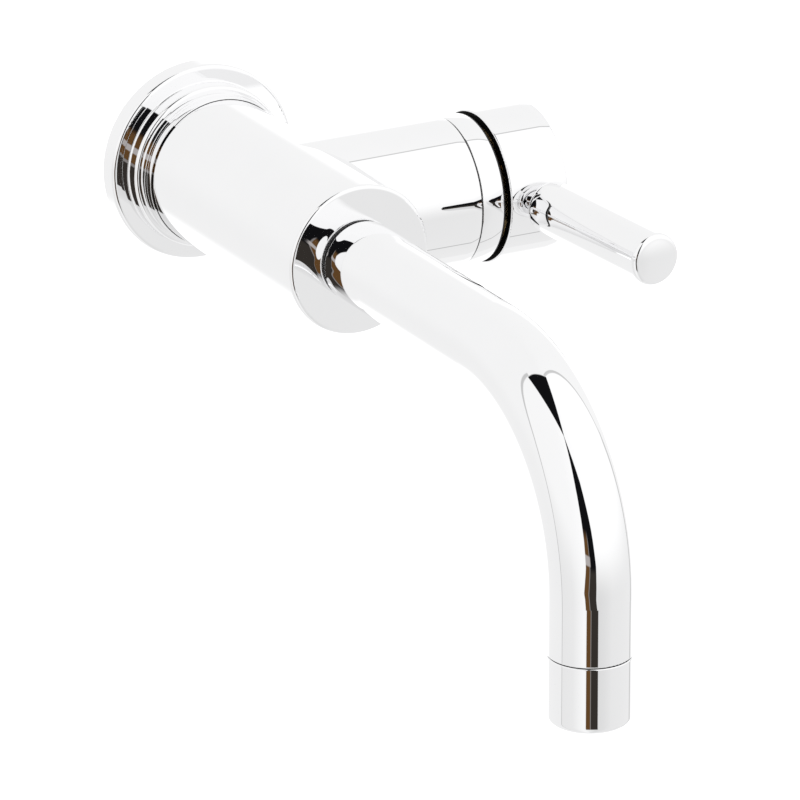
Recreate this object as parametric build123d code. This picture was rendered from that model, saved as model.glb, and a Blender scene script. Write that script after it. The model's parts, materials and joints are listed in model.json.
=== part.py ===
from build123d import *
import math
import os

os.makedirs("parts", exist_ok=True)

# Wall-mounted single-lever basin mixer. The wall is the plane Y = 0 and the tap stands out of it
# towards -Y. The side arm with the cartridge and the handle runs along +X, and +Z is up.
# The origin is the centre of the wall gasket's back face, on the axis of the body.
# A size that ends in _out is measured out from the wall, and one that ends in _x along the arm.

# Fits, and how near an edge has to be to the place it is looked for
running_fit = 0.05
slip_fit = 0.15
free_gap = 0.3
seal_gap = 0.02
face_film = 0.02
found_within = 0.01

# Body and side arm: the arm is as wide as the cartridge, its nut and the sleeve round them need
cartridge_radius = 17.5
nut_wall = 1.9
nut_radius = cartridge_radius + nut_wall
sleeve_step = 1.2
sleeve_bore = nut_radius + sleeve_step
sleeve_wall = 3.3
arm_radius = sleeve_bore + sleeve_wall
body_over_arm = 0.1
body_radius = arm_radius + body_over_arm
body_front_out = 111.9
body_edge = 1.3
arm_out = 68.2
arm_edge = 0.3
arm_seam = 0.2

# Wall gasket and stepped flange
flange_radius = 32.0
flange_back_out = 0.6
flange_front_out = 7.2
flange_edge = 1.4
gasket_inside_rim = 1.5
gasket_radius = flange_radius - gasket_inside_rim
gasket_bore = 18.0
gasket_thickness = 1.6
collar_over_body = 2.5
collar_radius = body_radius + collar_over_body
collar_height = 5.2
collar_foot_edge = 0.5
collar_edge = 1.2
lip_over_body = 0.6
lip_radius = body_radius + lip_over_body
lip_count = 2
lip_step_in = 0.45
lip_step_out = 3.2
lip_edge = 0.15
flange_ring_out = 4.0
flange_ring_groove = 1.6

# Inlet block, its seals and screws
socket_depth_out = 20.0
block_radius = 20.0
block_back_out = 2.0
inlet_x = 10.5
inlet_z = 7.5
inlet_thread_radius = 4.5
inlet_thread_depth = 11.0
waterway_radius = 3.2
inlet_seal_radius = 4.9
inlet_seal_depth = 1.4
block_screw_x = -1.5
block_screw_z = 14.8
block_screw_radius = 2.0
block_screw_depth = 10.0
block_screw_head_radius = 3.5
block_screw_head_height = 4.0
block_screw_key = 1.5

# Fixing studs, stepped down behind a shoulder that seats on the inlet block
stud_x = -9.0
stud_z = 9.0
stud_radius = 3.0
stud_step = 0.5
stud_hold_radius = stud_radius - stud_step
stud_hold = 14.0
stud_behind_wall = 23.0
stud_point = 0.8

# Ports, seen along the arm: both inlets lie further out than the arm's axis, the mixed one nearer in
port_radius = 2.3
port_in_out = 5.0
port_in_z = 4.4
port_mixed_back = 5.0
feed_past_port = 0.8
mixed_bore_radius = 7.0
mixed_way_radius = 3.2
port_seal_radius = 3.9
port_seal_depth = 1.0
seal_stand = 0.6
disc_seal_depth = 1.0

# Spout
spout_radius = 12.95
spout_wall = 1.95
spout_bore = spout_radius - spout_wall
spout_reach_out = 255.5
spout_bend_radius = 59.6
spout_end_z = -78.1
spout_edge = 0.4
shank_in = 0.4
shank_radius = spout_radius - shank_in
shank_wall = 3.55
shank_bore = shank_radius - shank_wall
shank_length = 18.4
shank_neck_in = 0.75
shank_neck_radius = shank_radius - shank_neck_in
shank_in_tube = 13.0
root_ring_in = 0.45
root_ring_radius = spout_radius - root_ring_in
root_ring_show = 1.1
root_ring_seat = 1.9
ring_groove_depth = 1.35
ring_groove_width = 2.0
spout_ring_spots = (4.5, 14.0)
grub_spot = 9.2
grub_radius = 2.5
grub_tip_radius = 1.5
grub_groove_depth = 1.0
grub_groove_width = 3.4
grub_sunk = 1.4
grub_key = 1.25
grub_key_depth = 2.5

# Aerator
aerator_height = 21.4
aerator_seam = 0.25
aerator_edge = 2.5
aerator_thread_depth = 0.75
aerator_thread_radius = spout_bore + aerator_thread_depth
aerator_thread_length = 8.2
aerator_wall = 1.15
aerator_bore = aerator_thread_radius - aerator_wall
aerator_lip = 1.2
aerator_lip_radius = aerator_bore - aerator_lip
aerator_lip_height = 2.0
washer_thickness = 2.0
washer_width = 2.55
insert_height = 7.0
jet_radius = 0.85
jet_pitch = 2.5
jet_rows = 3
screen_thickness = 0.6
regulator_height = 3.4
regulator_holes = 12
regulator_hole_radius = 0.7
regulator_hole_circle = 5.2

# Cartridge, from the seat floor in the arm outwards
seat_x = 19.0
cartridge_seat_fit = 0.2
base_height = 7.9
base_rim = 2.5
ceramic_radius = cartridge_radius - base_rim
disc_recess = 4.0
shell_wall = 1.8
shell_bore = cartridge_radius - shell_wall
shell_length = 18.5
shell_neck_in = 1.3
shell_neck_radius = cartridge_radius - shell_neck_in
shell_neck_height = 3.5
shell_lid = 2.5
disc_travel = 4.1
moving_disc_radius = shell_bore - disc_travel - free_gap
moving_disc_height = 4.0
pocket_radius = 3.8
pocket_depth = 2.4
pocket_reach = 9.6
pocket_half_width = 2.8
carrier_in_disc = 0.8
carrier_radius = moving_disc_radius - carrier_in_disc
carrier_height = 10.0
carrier_flat_z = 9.0
nut_bore = shell_neck_radius + slip_fit
nut_over_shell = 1.0
nut_slots = 6
nut_slot_width = 4.0
nut_slot_depth = 2.0
limit_ring_radius = 13.0
limit_ring_height = 2.6
limit_tab_height = 3.0
limit_tab_width = 3.0
limit_key_width = 4.0
limit_key_tip = 0.4
turn_to_stop = 45.0
turn_spare = 1.5

# Bonnet sleeve and slide ring
arm_over_nut = 8.1
sleeve_in = 0.3
sleeve_radius = arm_radius - sleeve_in
sleeve_length = 7.9
sleeve_skirt = 3.1
sleeve_web = 0.9
sleeve_edge = 0.4
slide_ring_in = 0.15
slide_ring_radius = sleeve_radius - slide_ring_in
slide_ring_foot_width = 0.9
slide_ring_seat = slide_ring_radius - slide_ring_foot_width
slide_ring_lip = 0.3
slide_ring_bore = sleeve_bore - slide_ring_lip
slide_ring_crown_width = 0.6
slide_ring_crown = slide_ring_bore + slide_ring_crown_width
slide_ring_back = 2.6
slide_ring_foot = 0.2
slide_ring_tip = 0.7

# Turret that turns with the handle
drum_radius = shell_bore - free_gap
drum_height = 4.3
drum_play = 0.5
rib_gap = 0.3
neck_radius = 9.0
neck_ring_depth = 1.3
neck_ring_under = 1.5
head_lift = 8.0
head_height = 3.0
head_radius = 12.0
head_bar_z = 8.0
stem_slot_reach = 2.9
stem_slot_play = 0.25

# Pivot of the handle
pivot_lift = 5.5
pivot_back = 15.0
pivot_pin_radius = 1.6
pivot_pin_proud = 0.6
ear_half_width = 3.0
ear_width = 3.4
ear_over = 3.2

# Handle cap, hub and drive stem
cap_over_arm = 0.5
cap_radius = arm_radius + cap_over_arm
cap_gap = 2.0
cap_height = 20.65
cap_wall = 2.5
cap_end_wall = 3.0
cap_edge = 1.0
cap_rim_edge = 0.5
cap_bore = cap_radius - cap_wall
hub_over_pivot = 6.2
hub_fit = 0.1
hub_boss_drop = 3.8
hub_boss_half_z = 8.0
hub_boss_from_axis = 6.0
lug_gap = 0.4
lug_under = 3.2
stem_radius = 2.8
stem_thin_radius = 2.1
stem_step_under = 0.5
stem_in_hub = 7.5
ball_radius = 3.2
ball_lift = 4.2
socket_fit = 0.1
socket_floor = 0.6

# Lever
lever_up = 9.5
lever_lean = 4.2
lever_radius = 8.4
lever_root_gap = 2.2
lever_root = cap_radius + lever_root_gap
lever_length = 61.3
lever_root_edge = 3.0
lever_tip_edge = 1.8
lever_tip_crown = 0.7
spigot_radius = 4.4
spigot_thread_radius = 3.0
spigot_in_hub = 9.0
spigot_in_lever = 14.0
spigot_seat_depth = 1.9
spigot_seat = cap_bore - spigot_seat_depth
lever_grub_radius = 2.0
lever_grub_from_root = 7.4
lever_grub_sunk = 0.4
lever_grub_key = 1.0

# Places that follow from the sizes above
spout_start_out = body_front_out + root_ring_show
shank_back_out = body_front_out - shank_length
aerator_bottom_z = spout_end_z - aerator_seam - aerator_height
insert_foot_z = aerator_bottom_z + aerator_lip_height
insert_radius = aerator_bore - slip_fit
screen_foot_z = insert_foot_z + insert_height
regulator_foot_z = screen_foot_z + screen_thickness
base_foot_x = seat_x + seal_stand
ceramic_face_x = base_foot_x + base_height
moving_face_x = ceramic_face_x + face_film
carrier_foot_x = moving_face_x + moving_disc_height
carrier_top_x = carrier_foot_x + carrier_height
shell_shoulder_x = ceramic_face_x + shell_length
shell_top_x = shell_shoulder_x + shell_neck_height
nut_end_x = shell_top_x + nut_over_shell
drum_top_x = shell_top_x - shell_lid - drum_play
drum_foot_x = drum_top_x - drum_height
arm_end_x = shell_shoulder_x + arm_over_nut
sleeve_end_x = arm_end_x + sleeve_length
head_x = shell_top_x + head_lift
head_top_x = head_x + head_height
pivot_x = head_top_x + pivot_lift
pivot_out = arm_out - pivot_back
cap_start_x = sleeve_end_x + cap_gap
cap_end_x = cap_start_x + cap_height
cap_ceiling_x = cap_end_x - cap_end_wall
hub_bottom_x = pivot_x + hub_over_pivot
lug_half_z = head_bar_z - ear_width - lug_gap
ball_x = carrier_foot_x + ball_lift
lever_x = cap_start_x + lever_up
arm_axis = Axis((0, -arm_out, 0), (1, 0, 0))
BASE = (Align.CENTER, Align.CENTER, Align.MIN)


# Round stock square to the wall, along the arm, upright, and along any line
def out_rod(radius, start, end, x=0.0, z=0.0):
    base = Plane(origin=(x, -start, z), x_dir=(1, 0, 0), z_dir=(0, -1, 0))
    return base * Cylinder(radius, end - start, align=BASE)


def arm_rod(radius, start, end, out=arm_out, z=0.0):
    base = Plane(origin=(start, -out, z), x_dir=(0, 1, 0), z_dir=(1, 0, 0))
    return base * Cylinder(radius, end - start, align=BASE)


def upright_rod(radius, bottom, top, x, out):
    base = Plane(origin=(x, -out, bottom), x_dir=(1, 0, 0), z_dir=(0, 0, 1))
    return base * Cylinder(radius, top - bottom, align=BASE)


def lever_plane(along):
    lean = math.radians(lever_lean)
    way = Vector(math.sin(lean), -math.cos(lean), 0)
    return Plane(origin=Vector(lever_x, -arm_out, 0) + way * along, x_dir=(0, 0, 1), z_dir=way)


def lever_rod_along(radius, start, end):
    return lever_plane(start) * Cylinder(radius, end - start, align=BASE)


# A ring turned about an axis square to the wall or about the arm, from (radius, distance) points
def turned_out(points, x=0.0, z=0.0):
    outline = Polyline(*[(x + radius, -out, z) for radius, out in points], close=True)
    return revolve(make_face(outline), Axis((x, 0, z), (0, 1, 0)), 360)


def turned_arm(points):
    outline = Polyline(*[(x, radius - arm_out, 0) for radius, x in points], close=True)
    return revolve(make_face(outline), arm_axis, 360)


# A round seal between a groove floor and the bore outside it
def out_seal(inner, outer, out, x=0.0, z=0.0):
    section = (outer - inner) / 2 - seal_gap
    base = Plane(origin=(x, -out, z), x_dir=(1, 0, 0), z_dir=(0, -1, 0))
    return base * Torus((inner + outer) / 2, section)


def arm_seal(middle, section, x, out=arm_out, z=0.0):
    base = Plane(origin=(x, -out, z), x_dir=(0, 1, 0), z_dir=(1, 0, 0))
    return base * Torus(middle, section)


def box_between(x0, x1, out0, out1, z0, z1):
    middle = ((x0 + x1) / 2, -(out0 + out1) / 2, (z0 + z1) / 2)
    return Pos(*middle) * Box(x1 - x0, out1 - out0, z1 - z0)


def group(solids):
    return Compound(children=list(solids))


def save(shape, name):
    export_step(shape, "parts/" + name + ".step")


# Wall gasket, its back face is the wall plane
def make_wall_gasket():
    ring = out_rod(gasket_radius, 0, gasket_thickness)
    return ring - out_rod(gasket_bore, 0, gasket_thickness)


# Edges of a piece turned about the body's axis, at one radius and one distance from the wall
def turned_edges(shape, radius, out):
    circles = shape.edges().filter_by(GeomType.CIRCLE)
    circles = circles.filter_by(lambda e: abs(e.radius - radius) < found_within)
    return circles.filter_by(lambda e: abs(e.center().Y + out) < found_within)


# Flange that slides over the body and hides the hole in the wall: a flat rim, a collar and thin lips
def make_wall_flange():
    bore = body_radius + slip_fit
    recess = gasket_radius + slip_fit
    front = flange_front_out + collar_height
    outline = [(bore, gasket_thickness), (recess, gasket_thickness), (recess, flange_back_out)]
    outline += [(flange_radius, flange_back_out), (flange_radius, flange_front_out)]
    outline += [(collar_radius, flange_front_out), (collar_radius, front)]
    lips = []
    for index in range(lip_count):
        radius = lip_radius + (lip_count - 1 - index) * lip_step_in
        outline.append((radius, front))
        front += lip_step_out
        outline.append((radius, front))
        lips.append((radius, front))
    outline.append((bore, front))
    flange = turned_out(outline)
    flange = fillet(turned_edges(flange, flange_radius, flange_front_out), flange_edge)
    flange = fillet(turned_edges(flange, collar_radius, flange_front_out), collar_foot_edge)
    flange = fillet(turned_edges(flange, collar_radius, flange_front_out + collar_height), collar_edge)
    for radius, front in lips:
        flange = fillet(turned_edges(flange, radius, front), lip_edge)
    groove = out_rod(body_radius + flange_ring_groove, flange_ring_out, flange_ring_out + ring_groove_width)
    return flange - groove


def make_flange_o_ring():
    middle = flange_ring_out + ring_groove_width / 2
    return out_seal(body_radius, body_radius + flange_ring_groove, middle)


# Body: a barrel with the side arm, bored for the inlet block, the cartridge and the spout
def make_main_body():
    barrel = out_rod(body_radius, gasket_thickness, body_front_out)
    barrel = fillet(barrel.edges().filter_by(GeomType.CIRCLE).sort_by(Axis.Y)[0], body_edge)
    arm = arm_rod(arm_radius, 0, arm_end_x)
    arm = fillet(arm.edges().filter_by(GeomType.CIRCLE).sort_by(Axis.X)[-1], arm_edge)
    body = barrel + arm
    body -= out_rod(block_radius + slip_fit, gasket_thickness, socket_depth_out)
    feed_end = arm_out + port_in_out + port_radius + feed_past_port
    for side in (-1, 1):
        body -= out_rod(waterway_radius, socket_depth_out, feed_end, inlet_x, side * inlet_z)
        body -= arm_rod(port_radius, inlet_x, seat_x, arm_out + port_in_out, side * port_in_z)
        stud_end = socket_depth_out + stud_hold
        body -= out_rod(stud_hold_radius, socket_depth_out, stud_end, stud_x, side * stud_z)
        screw_end = socket_depth_out + block_screw_depth
        screw_z = side * block_screw_z
        body -= out_rod(block_screw_radius, socket_depth_out, screw_end, block_screw_x, screw_z)
    body -= arm_rod(cartridge_radius + cartridge_seat_fit, seat_x, arm_end_x)
    body -= arm_rod(nut_radius, shell_shoulder_x, arm_end_x)
    body -= arm_rod(mixed_way_radius, 0, seat_x, arm_out - port_mixed_back)
    mixed_back = arm_out - port_mixed_back - mixed_way_radius
    body -= out_rod(mixed_bore_radius, mixed_back, body_front_out)
    body -= out_rod(shank_radius + running_fit, shank_back_out, body_front_out)
    body -= out_rod(root_ring_radius + slip_fit, body_front_out - root_ring_seat, body_front_out)
    groove_floor = -shank_radius + grub_groove_depth
    body -= upright_rod(grub_radius, -body_radius, groove_floor, 0, shank_back_out + grub_spot)
    return body


# Inlet block with the two threaded inlets, screwed into the socket in the back of the body
def make_inlet_block():
    block = out_rod(block_radius, block_back_out, socket_depth_out)
    head_room = block_screw_head_radius + free_gap
    head_depth = block_screw_head_height + free_gap
    for side in (-1, 1):
        inlet_end = block_back_out + inlet_thread_depth
        block -= out_rod(inlet_thread_radius, block_back_out, inlet_end, inlet_x, side * inlet_z)
        block -= out_rod(waterway_radius, block_back_out, socket_depth_out, inlet_x, side * inlet_z)
        seal_floor = socket_depth_out - inlet_seal_depth
        block -= out_rod(inlet_seal_radius, seal_floor, socket_depth_out, inlet_x, side * inlet_z)
        stud_hole = stud_hold_radius + slip_fit
        block -= out_rod(stud_hole, block_back_out, socket_depth_out, stud_x, side * stud_z)
        head_end = block_back_out + head_depth
        block -= out_rod(head_room, block_back_out, head_end, block_screw_x, side * block_screw_z)
        screw_hole = block_screw_radius + slip_fit
        block -= out_rod(screw_hole, block_back_out, socket_depth_out, block_screw_x, side * block_screw_z)
    return block


def make_inlet_seals():
    section = inlet_seal_depth / 2 - seal_gap
    middle = inlet_seal_radius - section - seal_gap
    seals = []
    for side in (-1, 1):
        centre = (inlet_x, -(socket_depth_out - inlet_seal_depth / 2), side * inlet_z)
        base = Plane(origin=centre, x_dir=(1, 0, 0), z_dir=(0, -1, 0))
        seals.append(base * Torus(middle, section))
    return group(seals)


def make_block_screws():
    screws = []
    seat = block_back_out + block_screw_head_height + free_gap
    key_depth = block_screw_head_height / 2
    for side in (-1, 1):
        place = (block_screw_x, side * block_screw_z)
        head = out_rod(block_screw_head_radius, seat - block_screw_head_height, seat, *place)
        shank = out_rod(block_screw_radius, seat, socket_depth_out + block_screw_depth - free_gap, *place)
        key = out_rod(block_screw_key, seat - block_screw_head_height, seat - key_depth, *place)
        screws.append(head + shank - key)
    return group(screws)


# Two studs that hold the tap to the wall
def make_fixing_studs():
    studs = []
    for side in (-1, 1):
        place = (stud_x, side * stud_z)
        stud = out_rod(stud_radius, -stud_behind_wall, block_back_out, *place)
        ends = stud.edges().filter_by(GeomType.CIRCLE).sort_by(Axis.Y)
        stud = chamfer(ends[-1], stud_point)
        stud += out_rod(stud_hold_radius, block_back_out, socket_depth_out + stud_hold, *place)
        ends = stud.edges().filter_by(GeomType.CIRCLE).sort_by(Axis.Y)
        studs.append(chamfer(ends[0], stud_point))
    return group(studs)


# Spout shank: the turned end that seals in the body, brazed into the spout tube
def make_spout_shank():
    neck_out = body_front_out - root_ring_seat
    shank = out_rod(shank_radius, shank_back_out, neck_out)
    shank += out_rod(shank_neck_radius, neck_out, spout_start_out)
    shank += out_rod(spout_bore, spout_start_out, spout_start_out + shank_in_tube)
    shank -= out_rod(shank_bore, shank_back_out, spout_start_out + shank_in_tube)
    for spot in spout_ring_spots:
        start = shank_back_out + spot - ring_groove_width / 2
        cut = out_rod(body_radius, start, start + ring_groove_width)
        shank -= cut - out_rod(shank_radius - ring_groove_depth, start, start + ring_groove_width)
    start = shank_back_out + grub_spot - grub_groove_width / 2
    cut = out_rod(body_radius, start, start + grub_groove_width)
    shank -= cut - out_rod(shank_radius - grub_groove_depth, start, start + grub_groove_width)
    return shank


def make_spout_o_rings():
    floor = shank_radius - ring_groove_depth
    bore = shank_radius + running_fit
    return group([out_seal(floor, bore, shank_back_out + spot) for spot in spout_ring_spots])


def make_root_ring():
    ring = out_rod(root_ring_radius, body_front_out - root_ring_seat, spout_start_out)
    return ring - out_rod(shank_neck_radius, body_front_out - root_ring_seat, spout_start_out)


# Spout tube: straight out of the body, then a quarter bend down to the aerator
def make_spout_tube():
    start = (0, -spout_start_out, 0)
    corner = (0, -spout_reach_out, 0)
    end = (0, -spout_reach_out, spout_end_z)
    path = FilletPolyline(start, corner, end, radius=spout_bend_radius)
    section = Plane(origin=start, x_dir=(1, 0, 0), z_dir=(0, -1, 0)) * Circle(spout_radius)
    tube = sweep(section, path)
    tube = fillet(tube.edges().filter_by(GeomType.CIRCLE).sort_by(Axis.Y)[-1], spout_edge)
    ends = tube.edges().filter_by(GeomType.CIRCLE).sort_by(Axis.Z)
    tube = fillet(ends[0], spout_edge)
    bore = Plane(origin=start, x_dir=(1, 0, 0), z_dir=(0, -1, 0)) * Circle(spout_bore)
    tube -= sweep(bore, path)
    thread_top = spout_end_z + aerator_thread_length + washer_thickness
    return tube - upright_rod(aerator_thread_radius, spout_end_z, thread_top, 0, spout_reach_out)


def make_spout_grub_screw():
    place = (0, shank_back_out + grub_spot)
    shoulder = -shank_radius - running_fit
    bottom = -body_radius + grub_sunk
    screw = upright_rod(grub_radius, bottom, shoulder, *place)
    screw += upright_rod(grub_tip_radius, shoulder, -shank_radius + grub_groove_depth, *place)
    return screw - upright_rod(grub_key, bottom, bottom + grub_key_depth, *place)


# Aerator: housing with a threaded neck, a washer, the jet insert, a screen and a flow regulator
def make_aerator_housing():
    top = spout_end_z - aerator_seam
    cup = upright_rod(spout_radius, aerator_bottom_z, top, 0, spout_reach_out)
    cup = fillet(cup.edges().filter_by(GeomType.CIRCLE).sort_by(Axis.Z)[0], aerator_edge)
    cup = fillet(cup.edges().filter_by(GeomType.CIRCLE).sort_by(Axis.Z)[-1], spout_edge)
    neck_top = spout_end_z + aerator_thread_length
    cup += upright_rod(aerator_thread_radius, top, neck_top, 0, spout_reach_out)
    cup -= upright_rod(aerator_bore, insert_foot_z, neck_top, 0, spout_reach_out)
    return cup - upright_rod(aerator_lip_radius, aerator_bottom_z, neck_top, 0, spout_reach_out)


def make_aerator_washer():
    foot = spout_end_z + aerator_thread_length
    ring = upright_rod(aerator_thread_radius, foot, foot + washer_thickness, 0, spout_reach_out)
    washer_bore = aerator_thread_radius - washer_width
    return ring - upright_rod(washer_bore, foot, foot + washer_thickness, 0, spout_reach_out)


def jet_places():
    places = [(0, 0)]
    for row in range(1, jet_rows + 1):
        count = 6 * row
        for index in range(count):
            turn = 2 * math.pi * index / count
            places.append((row * jet_pitch * math.cos(turn), row * jet_pitch * math.sin(turn)))
    return places


def make_aerator_insert():
    insert = upright_rod(insert_radius, insert_foot_z, screen_foot_z, 0, spout_reach_out)
    for across, along in jet_places():
        insert -= upright_rod(jet_radius, insert_foot_z, screen_foot_z, across, spout_reach_out + along)
    return insert


def make_aerator_screen():
    screen = upright_rod(insert_radius, screen_foot_z, regulator_foot_z, 0, spout_reach_out)
    for across, along in jet_places():
        screen -= upright_rod(jet_radius, screen_foot_z, regulator_foot_z, across, spout_reach_out + along)
    return screen


def make_flow_regulator():
    foot = regulator_foot_z
    disc = upright_rod(insert_radius, foot, foot + regulator_height, 0, spout_reach_out)
    for index in range(regulator_holes):
        turn = 2 * math.pi * index / regulator_holes
        across = regulator_hole_circle * math.cos(turn)
        along = spout_reach_out + regulator_hole_circle * math.sin(turn)
        disc -= upright_rod(regulator_hole_radius, foot, foot + regulator_height, across, along)
    return disc


# Cartridge: base with three ports, seals, ceramic discs, disc carrier and shell
def port_places():
    inlets = [(arm_out + port_in_out, side * port_in_z) for side in (-1, 1)]
    return inlets + [(arm_out - port_mixed_back, 0)]


def make_cartridge_base():
    base = arm_rod(cartridge_radius, base_foot_x, ceramic_face_x)
    base -= arm_rod(ceramic_radius, ceramic_face_x - disc_recess, ceramic_face_x)
    recess = ceramic_face_x - disc_recess
    for out, z in port_places():
        base -= arm_rod(port_radius, base_foot_x, ceramic_face_x, out, z)
        base -= arm_rod(port_seal_radius, base_foot_x, base_foot_x + port_seal_depth, out, z)
        base -= arm_rod(port_seal_radius, recess - disc_seal_depth, recess, out, z)
    return base


def make_port_seals():
    section = (seal_stand + port_seal_depth) / 2 - seal_gap
    middle = port_seal_radius - section - seal_gap
    centre = seat_x + seal_gap + section
    return group([arm_seal(middle, section, centre, out, z) for out, z in port_places()])


def make_disc_seals():
    section = disc_seal_depth / 2 - seal_gap
    middle = port_seal_radius - section - seal_gap
    centre = ceramic_face_x - disc_recess - disc_seal_depth / 2
    return group([arm_seal(middle, section, centre, out, z) for out, z in port_places()])


def make_fixed_disc():
    disc = arm_rod(ceramic_radius, ceramic_face_x - disc_recess, ceramic_face_x)
    for out, z in port_places():
        disc -= arm_rod(port_radius, ceramic_face_x - disc_recess, ceramic_face_x, out, z)
    return disc


def make_moving_disc():
    disc = arm_rod(moving_disc_radius, moving_face_x, carrier_foot_x)
    pocket_end = moving_face_x + pocket_depth
    pocket = arm_rod(pocket_radius, moving_face_x, pocket_end)
    pocket += box_between(moving_face_x, pocket_end, arm_out - pocket_reach, arm_out,
                          -pocket_half_width, pocket_half_width)
    return disc - pocket


def make_disc_carrier():
    block = arm_rod(carrier_radius, carrier_foot_x, carrier_top_x)
    width = carrier_radius
    block &= box_between(carrier_foot_x, carrier_top_x, arm_out - width, arm_out + width,
                         -carrier_flat_z, carrier_flat_z)
    return block - arm_rod(ball_radius + socket_fit, carrier_foot_x + socket_floor, carrier_top_x)


def make_cartridge_shell():
    shell = arm_rod(cartridge_radius, ceramic_face_x, shell_shoulder_x)
    shell += arm_rod(shell_neck_radius, shell_shoulder_x, shell_top_x)
    shell -= arm_rod(shell_bore, ceramic_face_x, shell_top_x - shell_lid)
    return shell - arm_rod(neck_radius + slip_fit, ceramic_face_x, shell_top_x)


def make_cartridge_nut():
    nut = arm_rod(nut_radius, shell_shoulder_x, nut_end_x)
    nut -= arm_rod(nut_bore, shell_shoulder_x, nut_end_x)
    slot = box_between(nut_end_x - nut_slot_depth, nut_end_x, arm_out - nut_slot_width / 2,
                       arm_out + nut_slot_width / 2, 0, nut_radius)
    for index in range(nut_slots):
        nut -= slot.rotate(arm_axis, 360 * index / nut_slots)
    return nut


# Ring that limits how far the handle turns to hot and cold, its two tabs stop the turret's key
def make_limit_ring():
    foot = shell_top_x
    top = foot + limit_ring_height
    tab_bore = neck_radius + free_gap
    ring = arm_rod(limit_ring_radius, foot, top)
    tab_half_turn = math.degrees(math.asin(limit_tab_width / 2 / tab_bore))
    key_half_turn = math.degrees(math.asin(limit_key_width / 2 / tab_bore))
    tab_turn = turn_to_stop + turn_spare + tab_half_turn + key_half_turn
    tab = box_between(top, top + limit_tab_height, arm_out - limit_ring_radius, arm_out - tab_bore,
                      -limit_tab_width / 2, limit_tab_width / 2)
    tab &= arm_rod(limit_ring_radius, top, top + limit_tab_height)
    for side in (-1, 1):
        ring += tab.rotate(arm_axis, side * tab_turn)
    return ring - arm_rod(neck_radius + slip_fit, foot, top + limit_tab_height)


# Sleeve that covers the end of the arm, screwed in over the cartridge nut
def make_bonnet_sleeve():
    sleeve_start = arm_end_x + arm_seam
    sleeve = arm_rod(sleeve_radius, sleeve_start, sleeve_end_x)
    ends = sleeve.edges().filter_by(GeomType.CIRCLE).sort_by(Axis.X)
    sleeve = fillet(ends[0], arm_edge)
    ends = sleeve.edges().filter_by(GeomType.CIRCLE).sort_by(Axis.X)
    sleeve = fillet(ends[-1], sleeve_edge)
    skirt_foot = arm_end_x - sleeve_skirt
    sleeve += arm_rod(nut_radius, skirt_foot, sleeve_start)
    sleeve -= arm_rod(nut_bore, skirt_foot, sleeve_end_x)
    sleeve -= arm_rod(sleeve_bore, sleeve_start + sleeve_web, sleeve_end_x)
    return sleeve - arm_rod(slide_ring_seat, sleeve_end_x - slide_ring_back, sleeve_end_x)


def make_slide_ring():
    outline = [
        (slide_ring_bore, sleeve_end_x - slide_ring_back),
        (slide_ring_seat, sleeve_end_x - slide_ring_back),
        (slide_ring_seat, sleeve_end_x),
        (slide_ring_radius, sleeve_end_x),
        (slide_ring_radius, sleeve_end_x + slide_ring_foot),
        (slide_ring_crown, sleeve_end_x + slide_ring_tip),
        (slide_ring_bore, sleeve_end_x + slide_ring_tip),
    ]
    return turned_arm(outline)


# Turret: drum and guide ribs inside the shell, neck, and the head that carries the pivot ears
def stem_slot(start, end):
    back = stem_radius + stem_slot_play
    slot = box_between(start, end, arm_out, arm_out + stem_slot_reach, -back, back)
    slot += arm_rod(back, start, end)
    return slot + arm_rod(back, start, end, arm_out + stem_slot_reach)


def make_cartridge_turret():
    drum = arm_rod(drum_radius, drum_foot_x, drum_top_x)
    rib_stock = arm_rod(drum_radius, carrier_foot_x + free_gap, drum_foot_x)
    rib_z = carrier_flat_z + rib_gap
    for side in (-1, 1):
        z0 = min(side * rib_z, side * drum_radius)
        z1 = max(side * rib_z, side * drum_radius)
        half = drum_radius
        drum += rib_stock & box_between(carrier_foot_x, drum_foot_x, arm_out - half, arm_out + half, z0, z1)
    turret = drum + arm_rod(neck_radius, drum_top_x, head_x)
    turret += arm_rod(head_radius, head_x, head_top_x)
    key_foot = shell_top_x + limit_ring_height + limit_key_tip
    key_out = arm_out - limit_ring_radius + limit_key_tip
    turret += box_between(key_foot, head_x, key_out, arm_out - neck_radius / 2,
                          -limit_key_width / 2, limit_key_width / 2)
    ear_back = pivot_out - ear_half_width
    ear_front = pivot_out + ear_half_width
    turret += box_between(head_x, head_top_x, ear_back, arm_out, -head_bar_z, head_bar_z)
    ear_inner_z = head_bar_z - ear_width
    for side in (-1, 1):
        z0 = min(side * ear_inner_z, side * head_bar_z)
        z1 = max(side * ear_inner_z, side * head_bar_z)
        turret += box_between(head_x, pivot_x + ear_over, ear_back, ear_front, z0, z1)
    ring_start = shell_top_x - neck_ring_under - ring_groove_width / 2
    cut = arm_rod(limit_ring_radius, ring_start, ring_start + ring_groove_width)
    turret -= cut - arm_rod(neck_radius - neck_ring_depth, ring_start, ring_start + ring_groove_width)
    turret -= stem_slot(drum_foot_x, head_top_x)
    return turret - upright_rod(pivot_pin_radius, -head_bar_z, head_bar_z, pivot_x, pivot_out)


def make_neck_o_ring():
    floor = neck_radius - neck_ring_depth
    section = (neck_radius + slip_fit - floor) / 2 - 2 * seal_gap
    return arm_seal(floor + section + seal_gap, section, shell_top_x - neck_ring_under)


def make_pivot_pin():
    half = head_bar_z + pivot_pin_proud
    return upright_rod(pivot_pin_radius, -half, half, pivot_x, pivot_out)


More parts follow.
